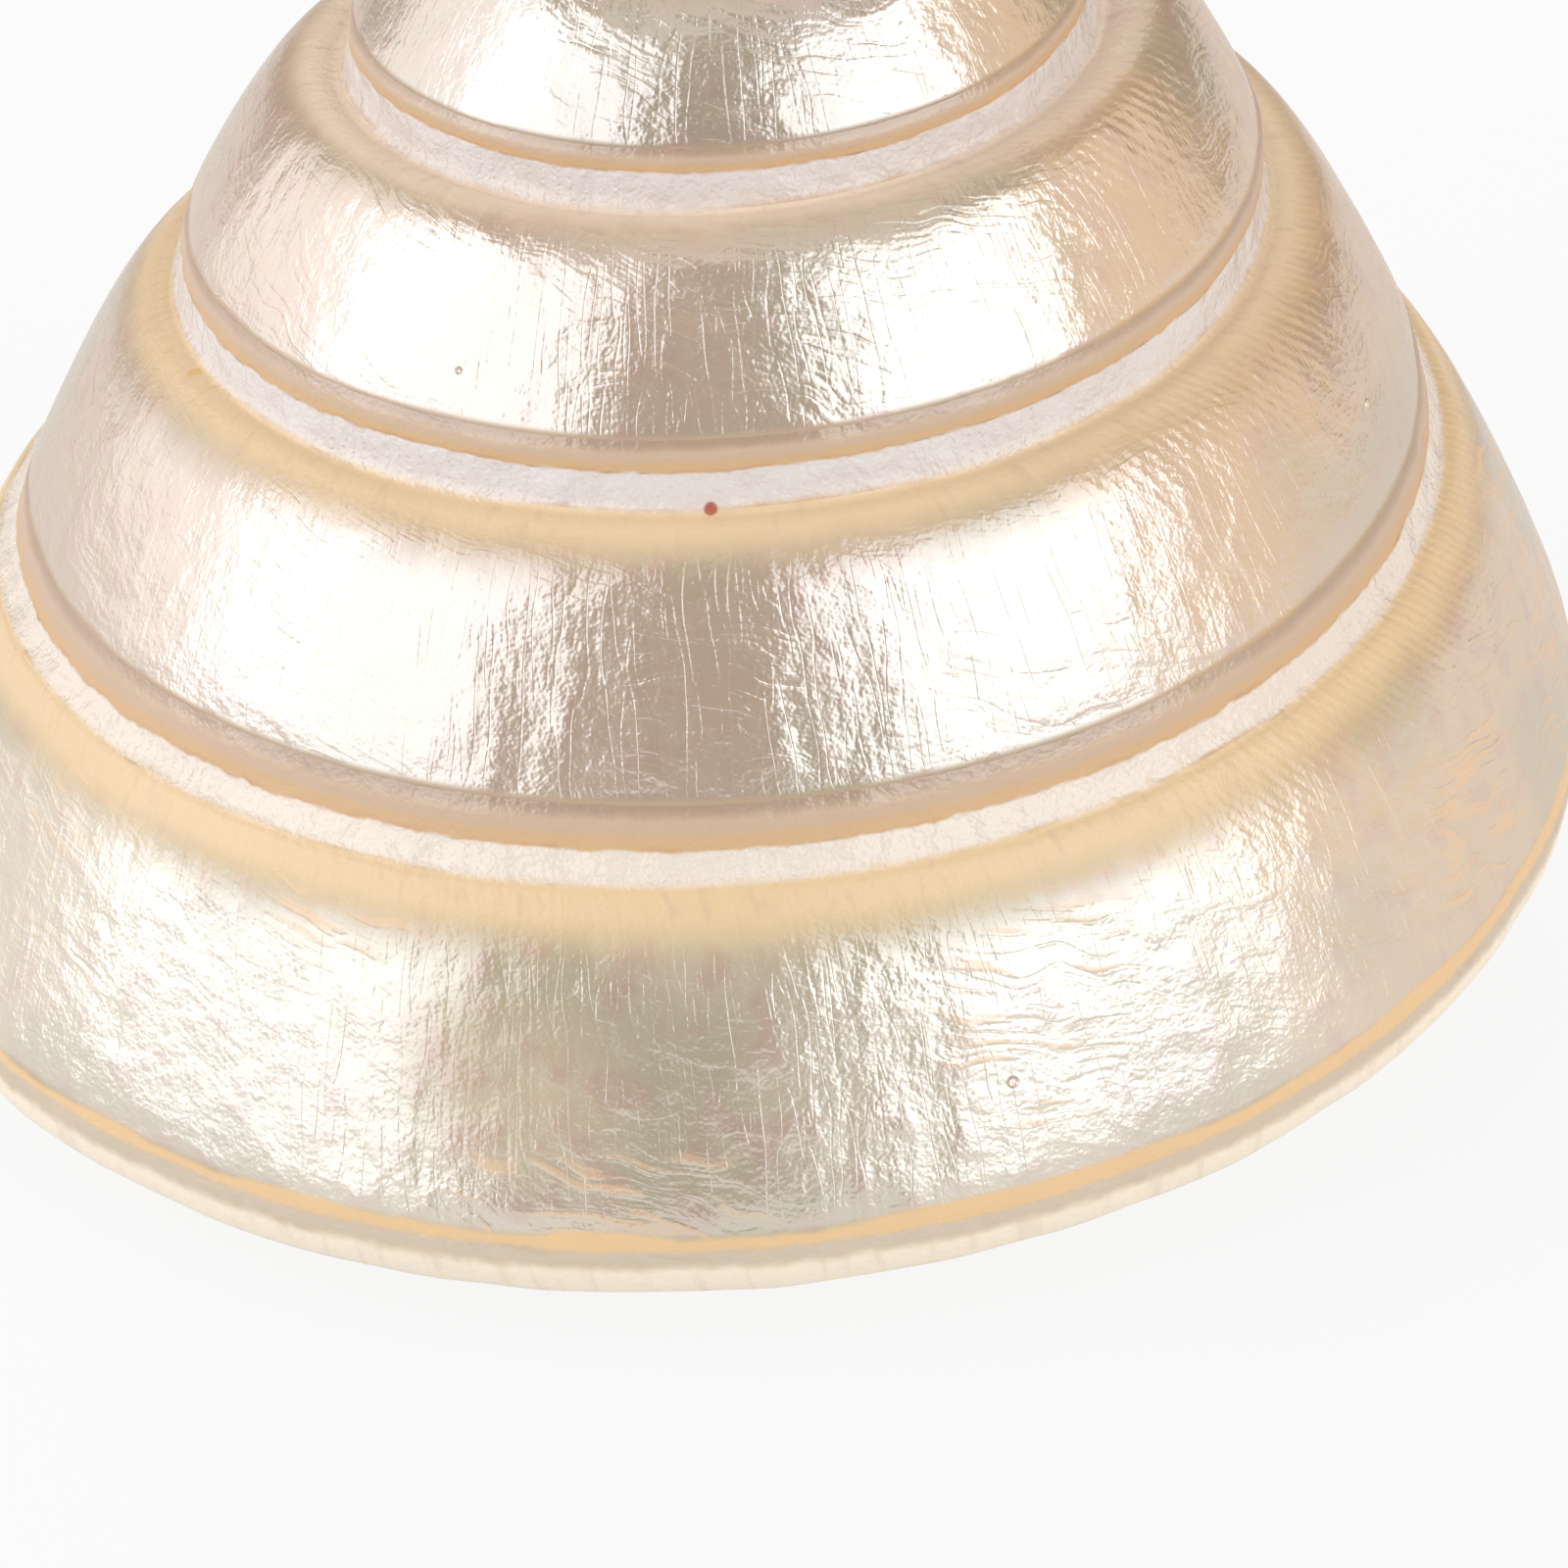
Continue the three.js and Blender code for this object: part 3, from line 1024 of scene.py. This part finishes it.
class SkinPlaces:
    """Where a point of the skin is, and the grain that its colour and relief share."""

    def __init__(self, g: Graph, slant: float) -> None:
        """Reads the surface coordinates and makes the grain.

        Args:
            g: The material's nodes.
            slant: The angle of the wrinkles to the growth.
        """
        self.g = g
        self.across, self.turns = g.pair("place")
        self.along, self.down = g.pair("grown")
        self.from_corner = g.attribute("from_corner")
        self.from_suture = g.attribute("from_suture")
        self.wave, self.broad = g.attribute("wave"), g.attribute("broad")
        self.wrinkled = g.step(g.attribute("wrinkled"), -0.25, 0.3)
        self.grown = g.step(g.attribute("grown"), -0.1, 0.4)
        flank = g.math("FRACT", self.turns)
        self.right_flank = g.step(flank, 0.52, 0.62) * (1 - g.step(flank, 0.86, 0.94))
        self.spot = g.object_mm()
        self.warp = self.grain(self.spot, 0.5, 0.6) * 1.6

        over = self.along * math.sin(slant) + self.down * math.cos(slant) + self.warp
        onward = self.down * math.sin(slant) - self.along * math.cos(slant)
        self.wrinkle = self.grain(g.combine(over, onward * 0.13, self.turns), 3.4, 0.55)
        self.bent = self.along + self.warp * 0.12 + self.down * 0.1
        lines = g.combine(self.bent, self.down * 0.09, self.turns)
        self.growth = self.grain(lines, 2.8, 0.65)
        self.foil = self.grain(self.spot, 6.4, 0.7)
        self.crumple = self.grain(self.spot, 1.1, 0.5)
        self.ragged = self.grain(self.spot, 1.3, 0.66, 2.0)
        stretched = g.combine(self.along * 1.6 + self.down * 0.2, self.down * 0.25, self.turns)
        self.streaks = self.grain(stretched, 1.6, 0.6)
        peachy = g.step(self.wrinkle + self.wave * 0.08, 0.06, 0.16) * self.wrinkled
        self.peachy = peachy * (g.step(self.turns, 4.3, 4.6) * 0.85 + 0.15)

    def grain(self, place: Term, scale: float, roughness: float, detail: float = 1.0) -> Term:
        """Noise about 0."""
        return self.g.noise(place, scale, detail, roughness) - 0.5


class SkinZones:
    """How much of each zone a point belongs to, with ragged or with calm edges."""

    def __init__(self, at: SkinPlaces, ragged: Value, streaks: Value) -> None:
        """Works out the zones from the surface coordinates.

        Args:
            at: The places of the skin.
            ragged: Noise about 0 that moves the zones' edges.
            streaks: Noise about 0 that draws the amber out along the growth.
        """
        step, most = at.g.step, partial(at.g.math, "MAXIMUM")
        above_mouth = 1 - step(at.across, 3.3, 3.5)
        self.side = 1 - step(at.across, 0.985, 1.0)
        self.covered = step(at.across, 1.0, 1.02) * above_mouth
        upper = step(at.across - ragged * 0.3, 1.94, 2.04) * above_mouth
        lower = 1 - step(at.from_suture - ragged * 0.3 - at.wave * 0.14, -0.08, 0.2)
        ragged_spread = lower * self.side * step(at.turns, -0.5, 0.0)
        self.band = most(upper * lower, ragged_spread)
        self.below = step(at.across, 3.5, 3.7) * (1 - step(at.across, 6.8, 6.9))
        self.hollow = step(at.across, 6.9, 7.0)

        past = at.from_suture - at.turns * 0.6 + 0.8 - ragged * 0.5 - streaks * 0.3
        self.amber = (1 - step(past, -0.5, 1.5)) * self.side * step(at.turns, 0.0, 1.6)
        wavy = at.from_corner + at.wave * 0.05 + ragged * 0.16
        wide = 0.07 - step(at.turns, 4.9, 5.05) * 0.07
        line = 1 - step(abs(wavy) - at.wave * 0.1 - wide, 0.06, 0.24)
        self.keel = line * step(at.turns, 4.35, 4.6)
        rim_strip = self.below * (1 - step(wavy, 0.45, 0.75)) * (1 - self.keel)
        pearly = self.side * (1 - self.amber * 0.85) * (1 - self.keel) * (1 - self.band)
        edge_pearl = self.covered * (1 - step(at.across, 1.15, 1.45)) * 0.25
        polished = pearly * step(past, -0.1, 2.4)
        self.sheen = most(polished, rim_strip * 0.8 + edge_pearl)


@dataclass(frozen=True)
class NacreFinish:
    """Polished mother of pearl with porcelain bands, amber edges and a cream rim."""

    pearl_top: Colour = srgb(150, 130, 105)
    pearl: Colour = srgb(168, 143, 117)
    pearl_late: Colour = srgb(178, 161, 134)
    pearl_green: Colour = srgb(156, 142, 112)
    pearl_rose: Colour = srgb(170, 134, 116)
    peach: Colour = srgb(216, 176, 136)
    pearl_warm: Colour = srgb(186, 150, 106)
    amber_early: Colour = srgb(220, 198, 178)
    amber_late: Colour = srgb(208, 180, 141)
    porcelain_early: Colour = srgb(207, 197, 192)
    porcelain_late: Colour = srgb(214, 201, 188)
    # Painted shade and dark reflection: the brown strip just under each covered whorl's corner.
    corner_shade_brown: Colour = srgb(160, 132, 109)
    beige: Colour = srgb(186, 159, 134)
    # Partly the undercut's own orange, partly painted shade that deepens it towards the
    # crevice.
    orange_and_shade: Colour = srgb(193, 158, 119)
    # Painted shadow: the brown line in the crevice under the overhanging whorl.
    crevice_shadow_brown: Colour = srgb(170, 122, 78)
    cream: Colour = srgb(226, 211, 190)
    slate: Colour = srgb(176, 153, 120)
    keel_orange: Colour = srgb(211, 177, 133)
    inside: Colour = srgb(226, 214, 202)
    wrinkle_slant: float = math.radians(18)
    plain_ior: float = 1.5
    plain_roughness: float = 0.5
    nacre_ior: float = 3.6
    nacre_roughness: float = 0.22
    dull_spot: Speck = Speck((-3.9, -18.1, 6.9), 3.2)
    specks: tuple[Speck, ...] = (
        Speck((-2.553, -9.826, 22.037), 0.08, srgb(120, 62, 30)),
        Speck((0.774, -13.18, 17.033), 0.17, srgb(158, 52, 14), 0.05),
        Speck((-10.483, -5.855, 16.999), 0.2, srgb(206, 164, 84)),
        Speck((-4.313, -11.149, 19.377), 0.13, srgb(170, 140, 116), -0.05),
        Speck((14.813, -6.065, 15.143), 0.16, srgb(200, 172, 142), 0.05),
        Speck((6.479, -18.296, 6.17), 0.17, srgb(196, 152, 122), -0.06),
    )

    def material(self) -> bpy.types.Material:
        """Builds the material.

        Returns:
            The material.
        """
        g = Graph("nacre")
        at = SkinPlaces(g, self.wrinkle_slant)
        zones = SkinZones(at, at.ragged, at.streaks)
        hue = self.colour(at, zones)
        height = self.relief(at, SkinZones(at, 0.0, 0.0))
        for speck in self.specks:
            inside = speck.within(at, 0.6)
            hue = g.mix(hue, speck.colour, inside * 0.85)
            if speck.height:
                height = height + inside * speck.height
        normal = g.bump(height)
        polish = zones.band * 0.3 + (zones.amber + zones.hollow) * 0.12 + zones.below * 0.1
        plain = g.principled(
            Base_Color=hue, Roughness=self.plain_roughness - polish,
            IOR=self.plain_ior, Normal=normal,
        )
        nacre = g.principled(
            Base_Color=hue, Roughness=self.nacre_roughness + at.streaks * 0.12,
            IOR=self.nacre_ior, Normal=normal,
        )
        dull = 1 - self.dull_spot.within(at, 0.2) * 0.7
        return g.surface(g.layered(plain, nacre, zones.sheen * dull * (1 - at.peachy * 0.5)))

    def colour(self, at: SkinPlaces, zones: SkinZones) -> Term:
        """The colour of each zone, mixed at their ragged edges.

        Args:
            at: The places of the skin.
            zones: The zones of the skin, with ragged edges.

        Returns:
            The colour.
        """
        step, mix, ragged = at.g.step, at.g.mix, at.ragged
        pearl = mix(self.pearl_top, self.pearl, step(at.turns, 1.8, 2.8))
        pearl = mix(pearl, self.pearl_late, step(at.turns, 4.3, 4.75))
        pearl = mix(pearl, self.pearl_warm, at.right_flank * 0.6)
        pearl = mix(pearl, self.pearl_green, step(at.broad, 0.0, 0.5) * 0.6)
        pearl = mix(pearl, self.pearl_rose, step(at.crumple, 0.0, 0.2) * 0.5)
        pearl = mix(pearl, self.peach, at.peachy * 0.6)
        amber = mix(self.amber_early, self.amber_late, step(at.turns, 2.6, 4.4))
        amber = mix(amber, self.beige, step(at.streaks, 0.05, 0.25) * 0.35)
        result = mix(pearl, amber, zones.amber)

        # The undercut below each covered whorl's corner: painted shade and dark reflection just
        # under the corner, then beige.
        ragged_spread = at.across + ragged * 0.15
        edge = mix(self.corner_shade_brown, self.beige, step(ragged_spread, 1.06, 1.36))
        # Orange towards the crevice: partly the undercut's own colour, partly painted shade
        # that deepens into the crevice.
        edge = mix(edge, self.orange_and_shade, step(ragged_spread, 1.5, 1.75))
        # Painted shadow: a brown line in the crease where the whorl above overhangs the band,
        # broken up by noise.
        crevice_shadow = step(at.across - ragged * 0.3, 1.8, 1.95) * step(at.crumple, -0.1, 0.2)
        edge = mix(edge, self.crevice_shadow_brown, crevice_shadow * 0.4)
        result = mix(result, edge, zones.covered)

        band = mix(self.porcelain_early, self.porcelain_late, step(at.turns, 3.2, 4.0))
        band = mix(band, amber, step(at.from_suture + ragged * 0.6, -0.35, 0.3) * 0.6)
        result = mix(result, band, zones.band)
        rim = mix(self.slate, self.cream, step(at.from_corner + ragged * 0.3, 0.45, 0.8))
        rim = mix(rim, self.beige, step(at.growth, 0.04, 0.2) * 0.22)
        result = mix(result, rim, zones.below)
        result = mix(result, self.keel_orange, zones.keel)
        return mix(result, self.inside, zones.hollow)

    def relief(self, at: SkinPlaces, zones: SkinZones) -> Term:
        """The fine relief in millimetres: foil, oblique wrinkles, growth folds and threads.

        Args:
            at: The places of the skin.
            zones: The zones of the skin, with calm edges.

        Returns:
            The height.
        """
        step, sine = at.g.step, partial(at.g.math, "SINE")
        groove = 1 - step(abs(at.wrinkle), 0.0, 0.07)
        scratch = 1 - step(abs(at.growth - 0.02), 0.0, 0.035)
        fold = (at.bent + at.from_suture * at.from_suture * 0.07) * 19.0 + at.warp * 2.0
        shoulder = at.right_flank * (1 - step(at.from_suture, 2.5, 5.5)) * zones.side

        bare = zones.side * (1 - zones.amber * 0.85) * (1 - zones.band) + zones.below * 0.3
        nacre = (
            (at.wrinkle * 0.034 - groove * 0.003) * (at.wrinkled * 0.7 + 0.3)
            + (at.growth * 0.016 - scratch * 0.003) * (at.grown * 0.8 + 0.2)
            + at.foil * 0.016
            + at.crumple * 0.06
        )
        bars = sine(at.bent * 24.0) * step(at.foil, -0.02, 0.1) * step(at.wave, 0.1, 0.3)
        edges = zones.below + zones.covered
        return (
            nacre * bare
            + (at.growth * 0.03 + at.foil * 0.018) * zones.amber
            + sine(fold) * shoulder * 0.0045
            + (at.crumple * 0.15 + at.foil * 0.03 + bars * 0.009) * zones.band
            + (at.foil * 0.02 + at.growth * 0.02 + at.crumple * 0.05) * edges
            + (at.growth * 0.05 + at.crumple * 0.06) * zones.hollow
        )


@dataclass(frozen=True)
class FloorFinish:
    """A plain pale floor that hardly holds a shadow."""

    colour: Colour = srgb(72, 72, 73)
    grey: Colour = srgb(70, 70, 72)
    roughness: float = 0.8
    glow: float = 0.855

    def material(self) -> bpy.types.Material:
        """Builds the material.

        Returns:
            The material.
        """
        g = Graph("studio_floor")
        colour = g.mix(self.colour, self.grey, g.noise(g.object_mm(), 0.02, 0.0))
        shader = g.principled(
            Base_Color=colour, Roughness=self.roughness,
            Emission_Color=(1.0, 1.0, 1.0, 1.0), Emission_Strength=self.glow,
        )
        return g.surface(shader)


@dataclass(frozen=True)
class Softbox:
    """A square softbox that faces the shell."""

    name: str
    azimuth: float
    elevation: float
    distance: float
    width: float
    height: float
    radiance: float
    colour: tuple[float, float, float] = (1.0, 1.0, 1.0)

    def build(self, target: Vector) -> None:
        """Places the light. Azimuth 0 is in front and 90 to the right.

        Args:
            target: The point that it faces.
        """
        light = bpy.data.lights.new(self.name, "AREA")
        light.shape = "RECTANGLE"
        light.size, light.size_y = self.width, self.height
        light.energy = self.radiance * math.pi * self.width * self.height
        light.color = self.colour
        a, e = math.radians(self.azimuth), math.radians(self.elevation)
        away = Vector((math.sin(a) * math.cos(e), -math.cos(a) * math.cos(e), math.sin(e)))
        box = add_object(self.name, light)
        box.location = target + away * self.distance
        box.rotation_mode = "QUATERNION"
        box.rotation_quaternion = away.to_track_quat("Z", "Y")
        box.visible_camera = False


@dataclass(frozen=True)
class PhotoCamera:
    """A camera at the photograph's angle, given about the coiling axis in millimetres."""

    lens: float = 120.0
    sensor: float = 36.0
    tilt: float = 0.61842658
    roll: float = 0.00017615
    distance: float = 109.629083
    right: float = 0.514944
    up: float = -21.350273
    clip_start: float = 0.005

    def build(self, stance: Stance) -> None:
        """Places the camera.

        Args:
            stance: How the shell stands.
        """
        forward = Vector((0, math.cos(self.tilt), -math.sin(self.tilt)))
        side = Vector((1, 0, 0))
        over = side.cross(forward)
        right = side * math.cos(self.roll) + over * math.sin(self.roll)
        up = over * math.cos(self.roll) - side * math.sin(self.roll)
        place = right * self.right + up * self.up - forward * self.distance
        turn = stance.rotation()
        matrix = Matrix((turn @ right, turn @ up, turn @ -forward)).transposed().to_4x4()
        matrix.translation = (turn @ place + Vector(stance.apex)) * MM
        data = bpy.data.cameras.new("photo_camera")
        data.lens, data.sensor_width = self.lens, self.sensor
        data.clip_start = self.clip_start
        camera = add_object("photo_camera", data)
        camera.matrix_world = matrix
        bpy.context.scene.camera = camera


@dataclass(frozen=True)
class Studio:
    """The floor, the softboxes, the room's pale light and the picture's plain tones."""

    floor_reach: float = 3.0
    target: tuple[float, float, float] = (0.0, 0.0, 0.012)
    room: tuple[float, float, float] = (0.93, 0.95, 1.0)
    room_strength: float = 0.22
    boxes: tuple[Softbox, ...] = (
        Softbox("softbox_left", -62, 25, 0.42, 0.44, 0.4, 2.3, (0.95, 0.98, 1.0)),
        Softbox("softbox_left_back", -105, 25, 0.42, 0.4, 0.4, 1.6, (1.0, 0.95, 0.92)),
        Softbox("softbox_right", 44, 25, 0.42, 0.42, 0.4, 2.6, (0.94, 0.98, 1.0)),
        Softbox("softbox_right_back", 90, 25, 0.42, 0.4, 0.4, 0.85, (1.0, 0.76, 0.54)),
        Softbox("softbox_back", 180, 38, 0.5, 0.4, 0.3, 1.6, (1.0, 0.95, 0.88)),
        Softbox("softbox_top", 0, 84, 0.5, 0.5, 0.5, 0.8, (1.0, 0.95, 0.88)),
    )

    def build(self) -> None:
        """Builds the studio round the shell."""
        world = bpy.data.worlds.new("studio")
        world.use_nodes = True
        background = world.node_tree.nodes["Background"]
        background.inputs[0].default_value = (*self.room, 1.0)
        background.inputs[1].default_value = self.room_strength
        scene = bpy.context.scene
        scene.world = world
        scene.view_settings.view_transform = "Standard"
        corners = np.array([[-1, -1, 0], [1, -1, 0], [1, 1, 0], [-1, 1, 0]]) * self.floor_reach
        mesh = bpy.data.meshes.new("studio_floor")
        mesh.from_pydata(corners, [], [(0, 1, 2, 3)])
        mesh.materials.append(FloorFinish().material())
        floor = add_object("studio_floor", mesh)
        for box in self.boxes:
            box.build(Vector(self.target))


def main() -> None:
    """Builds the camera, the shell and the studio in order."""
    logging.basicConfig(level=logging.INFO, format="%(message)s")
    stance = Stance()
    PhotoCamera().build(stance)
    shell = TurbanShell(stance=stance)
    piece = shell.build()
    piece.data.materials.append(NacreFinish().material())
    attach(piece, "root")
    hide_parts("shell")
    log.info("%s: %d triangles", piece.name, len(piece.data.polygons))
    Studio().build()


if __name__ == "__main__":
    main()
